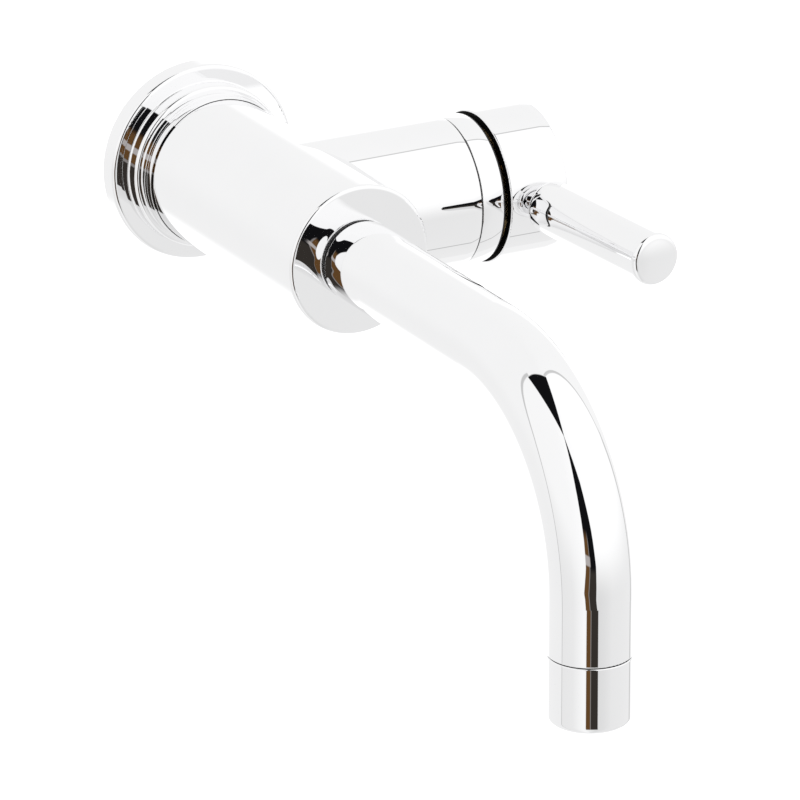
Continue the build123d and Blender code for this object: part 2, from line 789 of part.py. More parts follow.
# Handle: cap, the hub fixed inside it, the drive stem, and the lever with its spigot
def make_handle_cap():
    cap = arm_rod(cap_radius, cap_start_x, cap_end_x)
    ends = cap.edges().filter_by(GeomType.CIRCLE).sort_by(Axis.X)
    cap = fillet(ends[-1], cap_edge)
    ends = cap.edges().filter_by(GeomType.CIRCLE).sort_by(Axis.X)
    cap = fillet(ends[0], cap_rim_edge)
    cap -= arm_rod(cap_bore, cap_start_x, cap_ceiling_x)
    return cap - lever_rod_along(spigot_radius + slip_fit, cap_bore / 2, cap_radius + cap_wall)


def make_handle_hub():
    hub = arm_rod(cap_bore - hub_fit, hub_bottom_x, cap_ceiling_x)
    boss_foot = hub_bottom_x - hub_boss_drop
    boss = box_between(boss_foot, hub_bottom_x, arm_out + hub_boss_from_axis, arm_out + cap_bore,
                       -hub_boss_half_z, hub_boss_half_z)
    hub += boss & arm_rod(cap_bore - hub_fit, boss_foot, hub_bottom_x)
    lug_back = pivot_out - ear_half_width
    lug_front = pivot_out + ear_half_width
    hub += box_between(pivot_x - lug_under, hub_bottom_x, lug_back, lug_front, -lug_half_z, lug_half_z)
    hub -= upright_rod(pivot_pin_radius + running_fit, -lug_half_z, lug_half_z, pivot_x, pivot_out)
    hub -= arm_rod(stem_radius, hub_bottom_x, hub_bottom_x + stem_in_hub)
    hub -= lever_rod_along(spigot_radius + slip_fit, spigot_seat, cap_radius)
    return hub - lever_rod_along(spigot_thread_radius, spigot_seat - spigot_in_hub, spigot_seat)


def make_drive_stem():
    step_x = drum_top_x - stem_step_under
    stem = arm_rod(stem_thin_radius, ball_x, step_x)
    stem += arm_rod(stem_radius, step_x, hub_bottom_x + stem_in_hub)
    ball_base = Plane(origin=(ball_x, -arm_out, 0), x_dir=(0, 1, 0), z_dir=(1, 0, 0))
    return stem + ball_base * Sphere(ball_radius)


def make_lever_spigot():
    spigot = lever_rod_along(spigot_thread_radius, spigot_seat - spigot_in_hub + free_gap, spigot_seat)
    spigot += lever_rod_along(spigot_radius, spigot_seat, lever_root)
    return spigot + lever_rod_along(spigot_thread_radius, lever_root, lever_root + spigot_in_lever)


# Stock for the small screw under the lever, upright through the lever's axis
def lever_grub_hole(radius, bottom, top):
    lean = math.radians(lever_lean)
    along = lever_root + lever_grub_from_root
    x = lever_x + math.sin(lean) * along
    out = arm_out + math.cos(lean) * along
    return upright_rod(radius, bottom, top, x, out)


# The rod's two rims, the root's first
def rod_rims(rod):
    circles = rod.edges().filter_by(GeomType.CIRCLE)
    return circles.filter_by(lambda e: abs(e.radius - lever_radius) < found_within).sort_by(Axis.Z)


# Rod of the lever, turned upright about its own axis with a slight crown on its tip, then set in place
def make_lever_rod():
    crown_radius = (lever_radius ** 2 + lever_tip_crown ** 2) / (2 * lever_tip_crown)
    rod = Cylinder(lever_radius, lever_length, align=BASE)
    rod &= Pos(0, 0, lever_length - crown_radius) * Sphere(crown_radius)
    rod = fillet(rod_rims(rod)[-1], lever_tip_edge)
    rod = fillet(rod_rims(rod)[0], lever_root_edge)
    rod = lever_plane(lever_root) * rod
    rod -= lever_rod_along(spigot_thread_radius, lever_root, lever_root + spigot_in_lever + free_gap)
    return rod - lever_grub_hole(lever_grub_radius, -lever_radius, -spigot_thread_radius)


def make_lever_grub_screw():
    bottom = -lever_radius + lever_grub_sunk
    screw = lever_grub_hole(lever_grub_radius, bottom, -spigot_thread_radius)
    return screw - lever_grub_hole(lever_grub_key, bottom, bottom + lever_grub_radius)


save(make_wall_gasket(), "wall_gasket")
save(make_wall_flange(), "wall_flange")
save(make_flange_o_ring(), "flange_o_ring")
save(make_main_body(), "main_body")
save(make_inlet_block(), "inlet_block")
save(make_inlet_seals(), "inlet_seals")
save(make_block_screws(), "block_screws")
save(make_fixing_studs(), "fixing_studs")
save(make_spout_shank(), "spout_shank")
save(make_spout_o_rings(), "spout_o_rings")
save(make_root_ring(), "root_ring")
save(make_spout_tube(), "spout_tube")
save(make_spout_grub_screw(), "spout_grub_screw")
save(make_aerator_housing(), "aerator_housing")
save(make_aerator_washer(), "aerator_washer")
save(make_aerator_insert(), "aerator_insert")
save(make_aerator_screen(), "aerator_screen")
save(make_flow_regulator(), "flow_regulator")
save(make_cartridge_base(), "cartridge_base")
save(make_port_seals(), "port_seals")
save(make_disc_seals(), "disc_seals")
save(make_fixed_disc(), "fixed_disc")
save(make_moving_disc(), "moving_disc")
save(make_disc_carrier(), "disc_carrier")
save(make_cartridge_shell(), "cartridge_shell")
save(make_cartridge_nut(), "cartridge_nut")
save(make_limit_ring(), "limit_ring")
save(make_bonnet_sleeve(), "bonnet_sleeve")
save(make_slide_ring(), "slide_ring")
save(make_cartridge_turret(), "cartridge_turret")
save(make_neck_o_ring(), "neck_o_ring")
save(make_pivot_pin(), "pivot_pin")
save(make_handle_cap(), "handle_cap")
save(make_handle_hub(), "handle_hub")
save(make_drive_stem(), "drive_stem")
save(make_lever_spigot(), "lever_spigot")
save(make_lever_rod(), "lever_rod")
save(make_lever_grub_screw(), "lever_grub_screw")
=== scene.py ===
import json
import math
import bmesh
import bpy
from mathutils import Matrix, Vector


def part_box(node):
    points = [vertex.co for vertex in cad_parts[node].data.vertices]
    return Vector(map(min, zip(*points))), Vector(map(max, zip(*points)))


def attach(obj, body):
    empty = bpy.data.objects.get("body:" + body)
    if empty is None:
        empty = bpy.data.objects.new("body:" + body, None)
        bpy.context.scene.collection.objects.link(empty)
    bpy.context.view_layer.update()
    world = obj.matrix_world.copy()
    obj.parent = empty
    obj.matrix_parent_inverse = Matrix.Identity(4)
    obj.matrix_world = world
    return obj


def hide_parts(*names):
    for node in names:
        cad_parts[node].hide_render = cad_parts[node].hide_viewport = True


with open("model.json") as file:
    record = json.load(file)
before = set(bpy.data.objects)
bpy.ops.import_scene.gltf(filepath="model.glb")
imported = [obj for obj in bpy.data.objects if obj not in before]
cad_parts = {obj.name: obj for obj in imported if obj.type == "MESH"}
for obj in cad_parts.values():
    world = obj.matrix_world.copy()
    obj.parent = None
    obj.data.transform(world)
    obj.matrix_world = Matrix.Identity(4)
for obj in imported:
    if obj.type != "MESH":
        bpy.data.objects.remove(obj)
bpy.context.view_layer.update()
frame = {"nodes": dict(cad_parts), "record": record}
nodes = frame["nodes"]
print("frame loaded,", len(nodes), "nodes")


# camera, set where the picture was taken from
cameraView = {
    "azimuth": -28.466,  # degrees, 0 looks along +Y
    "elevation": 20.579,
    "distance": 2.764,
    "lens": 393.48,
    "sensor": 36.0,
    "target": (0.0421, -0.06, -0.0704),
    "near": 0.05,
    "far": 60.0,
}


def viewWay(view):
    a = math.radians(view["azimuth"])
    e = math.radians(view["elevation"])
    return Vector((math.sin(a) * math.cos(e), -math.cos(a) * math.cos(e), math.sin(e)))


def addCamera(view):
    back = viewWay(view)
    data = bpy.data.cameras.new("camera")
    data.lens = view["lens"]
    data.sensor_width = view["sensor"]
    data.clip_start = view["near"]
    data.clip_end = view["far"]
    camera = bpy.data.objects.new("camera", data)
    bpy.context.scene.collection.objects.link(camera)
    camera.location = Vector(view["target"]) + back * view["distance"]
    camera.rotation_mode = "QUATERNION"
    camera.rotation_quaternion = (-back).to_track_quat("-Z", "Y")
    bpy.context.scene.camera = camera


addCamera(cameraView)
bpy.context.scene.view_settings.view_transform = "Standard"
print("camera placed")


# node helpers, so that each material below reads as a short list
def newMaterial(name):
    material = bpy.data.materials.new(name)
    material.use_nodes = True
    tree = material.node_tree
    return material, tree, tree.nodes["Principled BSDF"]


def addNode(tree, kind, inputs=None, **settings):
    node = tree.nodes.new("ShaderNode" + kind)
    for key, value in settings.items():
        setattr(node, key, value)
    for key, value in (inputs or {}).items():
        if isinstance(value, bpy.types.NodeSocket):
            tree.links.new(value, node.inputs[key])
        else:
            node.inputs[key].default_value = value
    return node


def mathNode(tree, operation, first, second=0.0, third=0.0):
    return addNode(tree, "Math", {0: first, 1: second, 2: third}, operation=operation).outputs[0]


def rangeNode(tree, value, fromLow, fromHigh, toLow, toHigh, smooth=True):
    made = addNode(
        tree, "MapRange",
        {"Value": value, "From Min": fromLow, "From Max": fromHigh, "To Min": toLow, "To Max": toHigh},
        interpolation_type="SMOOTHSTEP" if smooth else "LINEAR",
    )
    return made.outputs["Result"]


def riseNode(tree, value, start, end):
    return rangeNode(tree, value, start, end, 0.0, 1.0)


def fallNode(tree, value, start, end):
    return rangeNode(tree, value, start, end, 1.0, 0.0)


def spreadNode(tree, noise, least, most):
    # noise lies mostly between 0.3 and 0.7, so that part is spread from least to most
    return rangeNode(tree, noise, 0.3, 0.7, least, most)


def mixNode(tree, factor, first, second):
    made = addNode(tree, "Mix", {"Factor": factor}, data_type="RGBA")
    for key, value in (("A", first), ("B", second)):
        if isinstance(value, bpy.types.NodeSocket):
            tree.links.new(value, made.inputs[key])
        else:
            made.inputs[key].default_value = value
    return made.outputs["Result"]


def betweenNode(tree, share, first, second):
    # the same for plain numbers, from first at share 0 to second at share 1
    return mathNode(tree, "MULTIPLY_ADD", mathNode(tree, "SUBTRACT", second, first), share, first)


def allOf(tree, first, *others):
    for other in others:
        first = mathNode(tree, "MULTIPLY", first, other)
    return first


def noiseNode(tree, place, scale, detail=3.0, roughness=0.5):
    inputs = {"Vector": place, "Scale": scale, "Detail": detail, "Roughness": roughness}
    return addNode(tree, "TexNoise", inputs).outputs["Fac"]


def vectorNode(tree, operation, first, second, output=0):
    return addNode(tree, "VectorMath", {0: first, 1: second}, operation=operation).outputs[output]


def splitNode(tree, place):
    return addNode(tree, "SeparateXYZ", {0: place}).outputs


def curveNode(tree, value, points, least, most):
    # a line drawn through a few given points, each (where along, how much), all between least and most
    node = tree.nodes.new("ShaderNodeFloatCurve")
    curve = node.mapping.curves[0]
    start, end = points[0][0], points[-1][0]
    spots = []
    for along, much in points:
        spots.append(((along - start) / (end - start), (much - least) / (most - least)))
    while len(curve.points) < len(spots):
        curve.points.new(0.5, 0.5)
    for point, spot in zip(curve.points, spots):
        point.location = spot
        point.handle_type = "VECTOR"
    node.mapping.update()
    tree.links.new(rangeNode(tree, value, start, end, 0.0, 1.0, smooth=False), node.inputs["Value"])
    return mathNode(tree, "MULTIPLY_ADD", node.outputs[0], most - least, least)


# the room is a tent of white cloth all round the tap, and the chrome takes its look from it
tentCloth = {
    # brightness of the cloth above and below, each (degrees round, brightness), 0 is straight in front
    "high": ((-180, 0.97), (-111, 0.97), (-109, 1.00), (-60, 1.01), (-36, 1.05), (0, 1.10),
             (100, 1.10), (103, 1.00), (180, 0.97)),
    "low": ((-180, 0.95), (-108, 0.92), (-106, 0.86), (-75, 0.88), (-45, 1.02), (-8, 0.76),
            (10, 0.80), (30, 0.86), (100, 0.90), (103, 0.96), (180, 0.95)),
    "between": (0.5, 1.2),
    "rise": (-18.0, 9.0),  # degrees up, where low changes to high
    "behind": 1.30,  # the bright sheet behind the tap, seen along its outlines
    "behindFrom": 42.0,  # degrees off the middle of that sheet
    "behindTo": 26.0,
    "background": (1.25, 1.25, 1.25, 1.0),  # what the camera sees round the tap
}


def skyParts(tree):
    # the way a reflected ray leaves, as plain parts and as degrees up and round
    way = addNode(tree, "TexCoord").outputs["Generated"]
    x, y, z = splitNode(tree, way)
    ahead = mathNode(tree, "MULTIPLY", y, -1.0)
    height = mathNode(tree, "DEGREES", mathNode(tree, "ARCSINE", z))
    side = mathNode(tree, "DEGREES", mathNode(tree, "ARCTAN2", x, ahead))
    return {"way": way, "x": x, "ahead": ahead, "z": z, "height": height, "side": side}


def clothLight(tree, sky, c):
    low = curveNode(tree, sky["side"], c["low"], *c["between"])
    high = curveNode(tree, sky["side"], c["high"], *c["between"])
    cloth = betweenNode(tree, riseNode(tree, sky["height"], *c["rise"]), low, high)
    facing = vectorNode(tree, "DOT_PRODUCT", sky["way"], -viewWay(cameraView), output="Value")
    start, full = math.cos(math.radians(c["behindFrom"])), math.cos(math.radians(c["behindTo"]))
    return betweenNode(tree, riseNode(tree, facing, start, full), cloth, c["behind"])


# seams of the cloth, thin grey lines
clothSeams = {
    # each upright seam: degrees round, from and up to which height, width in degrees
    "upright": ((-108.5, -60.0, 62.0, 1.3), (101.5, 10.0, 86.0, 1.2), (101.5, -45.0, 10.0, 3.4)),
    "fade": 2.0,  # degrees over which a seam ends
    "shade": 0.62,
    # one more runs across the floor on the right
    "floorAhead": 0.35,  # how far in front, for each metre down
    "floorScale": 57.0,  # brings it near enough to degrees
    "floorWidth": 1.1,
    "floorHeights": (-40.0, -44.0),  # degrees up, it shows below these
    "floorRight": (0.1, 0.3),
}


def seamLine(tree, distance, width, core=0.4):
    # full over the core's share of its width, then soft
    return fallNode(tree, mathNode(tree, "ABSOLUTE", distance), width * core, width)


def seamShade(tree, sky, s):
    squeeze = mathNode(tree, "COSINE", mathNode(tree, "RADIANS", sky["height"]))
    ahead = mathNode(tree, "MULTIPLY_ADD", sky["z"], s["floorAhead"], sky["ahead"])
    seams = allOf(
        tree, seamLine(tree, mathNode(tree, "MULTIPLY", ahead, s["floorScale"]), s["floorWidth"]),
        riseNode(tree, sky["height"], *s["floorHeights"]), riseNode(tree, sky["x"], *s["floorRight"]),
    )
    for angle, foot, top, width in s["upright"]:
        off = mathNode(tree, "MULTIPLY", mathNode(tree, "SUBTRACT", sky["side"], angle), squeeze)
        line = allOf(
            tree, seamLine(tree, off, width), riseNode(tree, sky["height"], foot - s["fade"], foot),
            fallNode(tree, sky["height"], top, top + s["fade"]),
        )
        seams = mathNode(tree, "MAXIMUM", seams, line)
    return rangeNode(tree, seams, 0.0, 1.0, 1.0, s["shade"], smooth=False)


# one tall slit in the front of the tent, which the camera looks through
frontSlit = {
    # its two edges, each (degrees up, degrees round)
    "left": ((-90, -38), (-22, -39), (-15, -45), (-4, -37), (8, -35.5), (30, -36.5), (57, -34.5),
             (90, -34.5)),
    "right": ((-90, -5), (-24, -6), (-17, -14), (-2, -11), (14, -13.5), (26, -17), (36, -20),
              (45, -26), (57, -34.5), (90, -34.5)),
    "between": (-90.0, 30.0),
    "soft": 0.5,
    "foot": (-40.0, -32.0),  # degrees up, it closes between these
    "ripple": 0.5,  # degrees that the edges wander
    "rippleScale": 4.0,
    "rippleEnd": (26.0, 34.0),
    # what it shows: black above, brown on the left and grey on the right below, a pale line between
    # them and a pale patch on the left
    "black": (0.006, 0.006, 0.007, 1.0),
    "brown": (0.125, 0.062, 0.022, 1.0),
    "grey": (0.036, 0.031, 0.027, 1.0),
    "pale": (0.46, 0.43, 0.42, 1.0),
    "brownTop": (8.0, 14.0),
    "brownSide": (0.33, 0.36),  # share of the slit's width, counted from its left edge
    "greyTop": (-6.0, -2.0),
    "lineSide": 0.38,
    "lineWidth": 0.045,
    "lineShare": 0.5,
    "patchFoot": (-3.0, -2.0),
    "patchTop": (1.5, 2.5),
    "patchSide": (0.4, 0.5),
}


def slitShape(tree, sky, s):
    ripple = noiseNode(tree, sky["way"], s["rippleScale"], detail=2.0)
    wander = mathNode(tree, "MULTIPLY_ADD", ripple, 2.0 * s["ripple"], -s["ripple"])
    wander = allOf(tree, wander, fallNode(tree, sky["height"], *s["rippleEnd"]))
    along = mathNode(tree, "ADD", sky["side"], wander)
    left = curveNode(tree, sky["height"], s["left"], *s["between"])
    right = curveNode(tree, sky["height"], s["right"], *s["between"])
    fromLeft = mathNode(tree, "SUBTRACT", along, left)
    fromRight = mathNode(tree, "SUBTRACT", right, along)
    nearest = mathNode(tree, "MINIMUM", fromLeft, fromRight)
    edges = riseNode(tree, nearest, -s["soft"], s["soft"])
    inside = allOf(tree, edges, riseNode(tree, sky["height"], *s["foot"]))
    return inside, mathNode(tree, "DIVIDE", fromLeft, mathNode(tree, "SUBTRACT", right, left))


def slitColour(tree, sky, share, s):
    height = sky["height"]
    dark = mixNode(tree, riseNode(tree, height, *s["greyTop"]), s["grey"], s["black"])
    lower = mixNode(tree, fallNode(tree, share, *s["brownSide"]), dark, s["brown"])
    line = seamLine(tree, mathNode(tree, "SUBTRACT", share, s["lineSide"]), s["lineWidth"])
    lower = mixNode(tree, mathNode(tree, "MULTIPLY", line, s["lineShare"]), lower, s["pale"])
    patch = allOf(
        tree, riseNode(tree, height, *s["patchFoot"]), fallNode(tree, height, *s["patchTop"]),
        fallNode(tree, share, *s["patchSide"]),
    )
    lower = mixNode(tree, patch, lower, s["pale"])
    return mixNode(tree, riseNode(tree, height, *s["brownTop"]), lower, s["black"])


# the opening in the roof, a triangle on a flat roof one metre up, each edge (start, slope)
roofOpening = {
    "left": (-0.52, 0.24),
    "right": (0.096, -0.826),
    "back": (-0.02, 0.25),
    "soft": 0.008,
    "heights": (50.0, 52.0),  # degrees up, it shows above these
    "colour": (0.006, 0.006, 0.007, 1.0),
}


def roofShape(tree, sky, r):
    overX = mathNode(tree, "DIVIDE", sky["x"], sky["z"])
    overY = mathNode(tree, "DIVIDE", sky["ahead"], sky["z"])

    def edgeAt(value, edge):
        start, slope = edge
        return mathNode(tree, "MULTIPLY_ADD", value, slope, start)

    fromLeft = mathNode(tree, "SUBTRACT", overX, edgeAt(overY, r["left"]))
    fromRight = mathNode(tree, "SUBTRACT", edgeAt(overY, r["right"]), overX)
    fromBack = mathNode(tree, "SUBTRACT", overY, edgeAt(overX, r["back"]))
    nearest = mathNode(tree, "MINIMUM", mathNode(tree, "MINIMUM", fromLeft, fromRight), fromBack)
    edges = riseNode(tree, nearest, -r["soft"], r["soft"])
    return allOf(tree, edges, riseNode(tree, sky["height"], *r["heights"]))


def makeTent(cloth, seams, slit, roof):
    world = bpy.data.worlds.new("tent")
    world.use_nodes = True
    bpy.context.scene.world = world
    tree = world.node_tree
    tree.nodes.clear()
    sky = skyParts(tree)
    light = mathNode(tree, "MULTIPLY", clothLight(tree, sky, cloth), seamShade(tree, sky, seams))
    seen = addNode(tree, "CombineColor", {0: light, 1: light, 2: light}).outputs[0]
    inside, share = slitShape(tree, sky, slit)
    seen = mixNode(tree, inside, seen, slitColour(tree, sky, share, slit))
    seen = mixNode(tree, roofShape(tree, sky, roof), seen, roof["colour"])
    byCamera = addNode(tree, "LightPath").outputs["Is Camera Ray"]
    seen = mixNode(tree, byCamera, seen, cloth["background"])
    backdrop = addNode(tree, "Background", {"Color": seen})
    output = tree.nodes.new("ShaderNodeOutputWorld")
    tree.links.new(backdrop.outputs[0], output.inputs["Surface"])


makeTent(tentCloth, clothSeams, frontSlit, roofOpening)
print("tent lit")


# plain pale floor, far enough down to show no shadow of the tap
floorSheet = {
    "halfSize": 20.0,
    "height": -1.3,
    "colour": (0.96, 0.96, 0.96, 1.0),
    "roughness": 0.9,
    "glow": 0.4,
}


def makeFloor(sheet):
    mesh = bpy.data.meshes.new("floor")
    s, z = sheet["halfSize"], sheet["height"]
    mesh.from_pydata([(-s, -s, z), (s, -s, z), (s, s, z), (-s, s, z)], [], [(0, 1, 2, 3)])
    floor = bpy.data.objects.new("floor", mesh)
    bpy.context.scene.collection.objects.link(floor)
    material, tree, shader = newMaterial("floorPaper")
    shader.inputs["Base Color"].default_value = sheet["colour"]
    shader.inputs["Roughness"].default_value = sheet["roughness"]
    shader.inputs["Emission Color"].default_value = sheet["colour"]
    shader.inputs["Emission Strength"].default_value = sheet["glow"]
    mesh.materials.append(material)
    floor.visible_glossy = False
    floor.visible_diffuse = False


makeFloor(floorSheet)
print("floor laid")


# every CAD node gets a finish, and all but the screws and studs keep their shape
def dress(names, material):
    for name in names:
        mesh = nodes[name].data
        mesh.materials.clear()
        mesh.materials.append(material)


def objectPlace(tree):
    return addNode(tree, "TexCoord").outputs["Object"]


def bumpNode(tree, shader, height, depth):
    bump = addNode(tree, "Bump", {"Height": height, "Distance": depth, "Strength": 1.0})
    tree.links.new(bump.outputs[0], shader.inputs["Normal"])


# polished chrome plate: a breath of polishing haze, the faint waves a polished tube keeps, and painted
# shade along seams and inside gaps
chromePlate = {
    "colour": (0.935, 0.935, 0.94, 1.0),
    "shade": (0.915, 0.915, 0.92, 1.0),
    "hazeScale": 60.0,
    "roughness": (0.010, 0.022),
    "waveScale": 46.0,
    "waveHeight": 0.00002,
    "seamShadeReach": 0.00035,  # half the width of the painted shade line where two pieces meet
    # painted shade for the seam line
    "seamShadeColour": (0.10, 0.10, 0.10, 1.0),
    "gapShadeColour": (0.010, 0.010, 0.009, 1.0),  # painted shade on the faces inside a gap
    "gapShadeRoughness": 0.7,
}


def gapShadeMask(tree, place, gapShade):
    # painted shade: the faces inside a gap are coloured dark
    axis = gapShade["axis"]
    parts = splitNode(tree, vectorNode(tree, "SUBTRACT", place, gapShade["centre"]))
    one, other = [parts[index] for index in range(3) if index != axis]
    square = mathNode(tree, "MULTIPLY_ADD", one, one, mathNode(tree, "MULTIPLY", other, other))
    spot = mathNode(tree, "ADD", parts[axis], gapShade["centre"][axis])
    return allOf(
        tree, mathNode(tree, "LESS_THAN", mathNode(tree, "SQRT", square), gapShade["radius"]),
        mathNode(tree, "GREATER_THAN", spot, gapShade["start"]),
        mathNode(tree, "LESS_THAN", spot, gapShade["end"]),
    )


def rolledEdges(tree, place, rolls):
    # polishing rounds an edge over a few millimetres, each roll is (where along X, reach, depth)
    along = splitNode(tree, place)[0]
    height = 0.0
    for spot, reach, depth in rolls:
        off = mathNode(tree, "ABSOLUTE", mathNode(tree, "SUBTRACT", along, spot))
        near = mathNode(tree, "MAXIMUM", mathNode(tree, "MULTIPLY_ADD", off, -1.0 / reach, 1.0), 0.0)
        height = mathNode(tree, "MULTIPLY_ADD", mathNode(tree, "MULTIPLY", near, near), -depth, height)
    return height


def swelledRoot(tree, place, s):
    along = splitNode(tree, place)[1]
    near = rangeNode(tree, along, s["middle"], s["middle"] + s["nearReach"], 0.0, -s["nearFall"])
    far = rangeNode(tree, along, s["middle"], s["middle"] - s["farReach"], 0.0, -s["farFall"])
    return mathNode(tree, "ADD", near, far)


def makeChrome(name, c, waves=False, gapShade=None, rolls=None, seam=None, swell=None):
    material, tree, shader = newMaterial(name)
    place = objectPlace(tree)
    haze = noiseNode(tree, place, c["hazeScale"], detail=4.0)
    colour = mixNode(tree, haze, c["colour"], c["shade"])
    rough = spreadNode(tree, haze, *c["roughness"])
    reliefs = []  # each in metres
    if waves:
        wave = noiseNode(tree, place, c["waveScale"], detail=1.0)
        reliefs.append(mathNode(tree, "MULTIPLY", wave, c["waveHeight"]))
    if rolls:
        reliefs.append(rolledEdges(tree, place, rolls))
    if swell:
        reliefs.append(swelledRoot(tree, place, swell))
    if reliefs:
        height = reliefs[0]
        for relief in reliefs[1:]:
            height = mathNode(tree, "ADD", height, relief)
        bumpNode(tree, shader, height, 1.0)
    # painted shade: a dark line along the seam where two pieces meet
    if seam:
        off = mathNode(tree, "ABSOLUTE", mathNode(tree, "SUBTRACT", splitNode(tree, place)[0], seam))
        colour = mixNode(tree, mathNode(tree, "LESS_THAN", off, c["seamShadeReach"]), colour, c["seamShadeColour"])
    # painted shade: the faces inside a gap are coloured near black, and made rough
    if gapShade:
        mask = gapShadeMask(tree, place, gapShade)
        colour = mixNode(tree, mask, colour, c["gapShadeColour"])
        rough = mathNode(tree, "MAXIMUM", rough, mathNode(tree, "MULTIPLY", mask, c["gapShadeRoughness"]))
    tree.links.new(colour, shader.inputs["Base Color"])
    tree.links.new(rough, shader.inputs["Roughness"])
    shader.inputs["Metallic"].default_value = 1.0
    return material


def middleOf(name):
    low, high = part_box(name)
    return (Vector(low) + Vector(high)) / 2


def halfOf(name, axis):
    low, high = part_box(name)
    return (high[axis] - low[axis]) / 2


# the crowned face on the lever's tip, turned and then buffed soft at its rim
leverTip = {
    "lean": 4.2,  # degrees off square to the wall
    "edge": 0.0023,  # from the tip back to where the lever has its full radius
    "sag": 0.00014,  # how far the leaning crown reaches past its own middle
    "crown": 0.030,  # radius of the crown
    "face": 0.0012,  # depth from the tip that belongs to its face
    "softFrom": 0.0056,  # distances off its middle, the buffed rim lies between them
    "softTo": 0.0076,
}


def tipMiddle(t, lean):
    low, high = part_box("lever_rod")
    x = high[0] - halfOf("lever_rod", 2) * math.cos(lean) + t["edge"] * math.sin(lean)
    return Vector((x, low[1] + t["sag"], middleOf("lever_rod").z))


def crownedTip(material, t):
    tree = material.node_tree
    shader = tree.nodes["Principled BSDF"]
    lean = math.radians(t["lean"])
    way = Vector((math.sin(lean), -math.cos(lean), 0.0))
    tip = tipMiddle(t, lean)
    place = objectPlace(tree)
    away = vectorNode(tree, "SUBTRACT", place, tip)
    depth = vectorNode(tree, "DOT_PRODUCT", away, way, output="Value")
    whole = vectorNode(tree, "DOT_PRODUCT", away, away, output="Value")
    square = mathNode(tree, "SUBTRACT", whole, mathNode(tree, "MULTIPLY", depth, depth))
    out = mathNode(tree, "SQRT", square)
    dome = vectorNode(tree, "SUBTRACT", place, tip - way * t["crown"])
    dome = addNode(tree, "VectorTransform", {0: dome}, vector_type="NORMAL", convert_from="OBJECT",
                   convert_to="WORLD").outputs[0]
    plain = addNode(tree, "NewGeometry").outputs["Normal"]
    mask = allOf(tree, mathNode(tree, "GREATER_THAN", depth, -t["face"]),
                 fallNode(tree, out, t["softFrom"], t["softTo"]))
    blend = addNode(tree, "Mix", {"Factor": mask}, data_type="VECTOR")
    tree.links.new(plain, blend.inputs["A"])
    tree.links.new(dome, blend.inputs["B"])
    level = addNode(tree, "VectorMath", {0: blend.outputs["Result"]}, operation="NORMALIZE").outputs[0]
    tree.links.new(level, shader.inputs["Normal"])
    return material


# where the painted shade inside a gap begins on the pieces that meet there, in from their own edges
gapShadeEnds = {
    "rimLeft": 0.0005,  # rim of plain chrome left outside the painted shade on the sleeve and the cap
    "seamLeft": 0.0003,  # rim of plain chrome left outside the painted shade at the seam over the aerator
    "skin": 0.00005,
    "capWall": 0.002,
}
# polished edges, each (how far the rounding reaches, how deep it is)
edgeRolls = {
    "arm": (0.0030, 0.00022),
    "sleeveNear": (0.0038, 0.00034),
    "sleeveFar": (0.0038, 0.00045),
    "capFar": (0.0045, 0.0004),
}
# a soft swell round the spout, just in front of its root, falling away both ways
spoutSwell = {
    "fromRoot": 0.0045,
    "nearReach": 0.005,
    "nearFall": 0.00035,
    "farReach": 0.017,
    "farFall": 0.0010,
}


def gapShadeZone(centre, axis, radius, start=-1.0, end=1.0):
    # a round column along one axis, a metre each way where nothing ends it
    return {"centre": centre, "axis": axis, "radius": radius, "start": start, "end": end}


def dressArm(c, ends, rolls):
    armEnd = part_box("main_body")[1][0]
    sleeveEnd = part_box("bonnet_sleeve")[1][0]
    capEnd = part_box("handle_cap")[1][0]
    sleeveRim = halfOf("bonnet_sleeve", 1) - ends["rimLeft"]
    capRim = halfOf("handle_cap", 1) - ends["rimLeft"]
    cap = middleOf("handle_cap")
    # painted shade on the faces inside the gaps round the sleeve, where it meets the arm and the cap
    armGapShade = gapShadeZone(cap, 0, sleeveRim, start=armEnd - ends["skin"])
    sleeveGapShade = gapShadeZone(middleOf("bonnet_sleeve"), 0, sleeveRim)
    capGapShade = gapShadeZone(cap, 0, capRim, end=capEnd - ends["capWall"])
    armRolls = [(armEnd, *rolls["arm"])]
    sleeveRolls = [(armEnd, *rolls["sleeveNear"]), (sleeveEnd, *rolls["sleeveFar"])]
    capRolls = [(capEnd, *rolls["capFar"])]
    body = makeChrome("chromeBody", c, gapShade=armGapShade, rolls=armRolls, seam=armEnd)
    sleeve = makeChrome("chromeSleeve", c, gapShade=sleeveGapShade, rolls=sleeveRolls, seam=armEnd)
    dress(["main_body"], body)
    dress(["bonnet_sleeve"], sleeve)
    dress(["handle_cap"], makeChrome("chromeCap", c, gapShade=capGapShade, rolls=capRolls))


def dressSpout(c, ends, swell):
    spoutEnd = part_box("spout_tube")[0][2]
    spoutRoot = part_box("spout_tube")[1][1]
    aerator = middleOf("aerator_housing")
    seamRim = halfOf("aerator_housing", 0) - ends["seamLeft"]
    # painted shade on the faces inside the gap where the spout meets the aerator
    spoutGapShade = gapShadeZone(aerator, 2, seamRim, end=spoutEnd + ends["skin"])
    aeratorGapShade = gapShadeZone(aerator, 2, seamRim, start=spoutEnd - ends["seamLeft"])
    swell = {**swell, "middle": spoutRoot - swell["fromRoot"]}
    dress(["spout_tube"], makeChrome("chromeSpout", c, waves=True, gapShade=spoutGapShade, swell=swell))
    dress(["aerator_housing"], makeChrome("chromeAerator", c, gapShade=aeratorGapShade))


dress(["wall_flange", "lever_spigot"], makeChrome("chromeTrim", chromePlate))
dress(["lever_rod"], crownedTip(makeChrome("chromeLever", chromePlate), leverTip))
dressArm(chromePlate, gapShadeEnds, edgeRolls)
dressSpout(chromePlate, gapShadeEnds, spoutSwell)
print("chrome on")


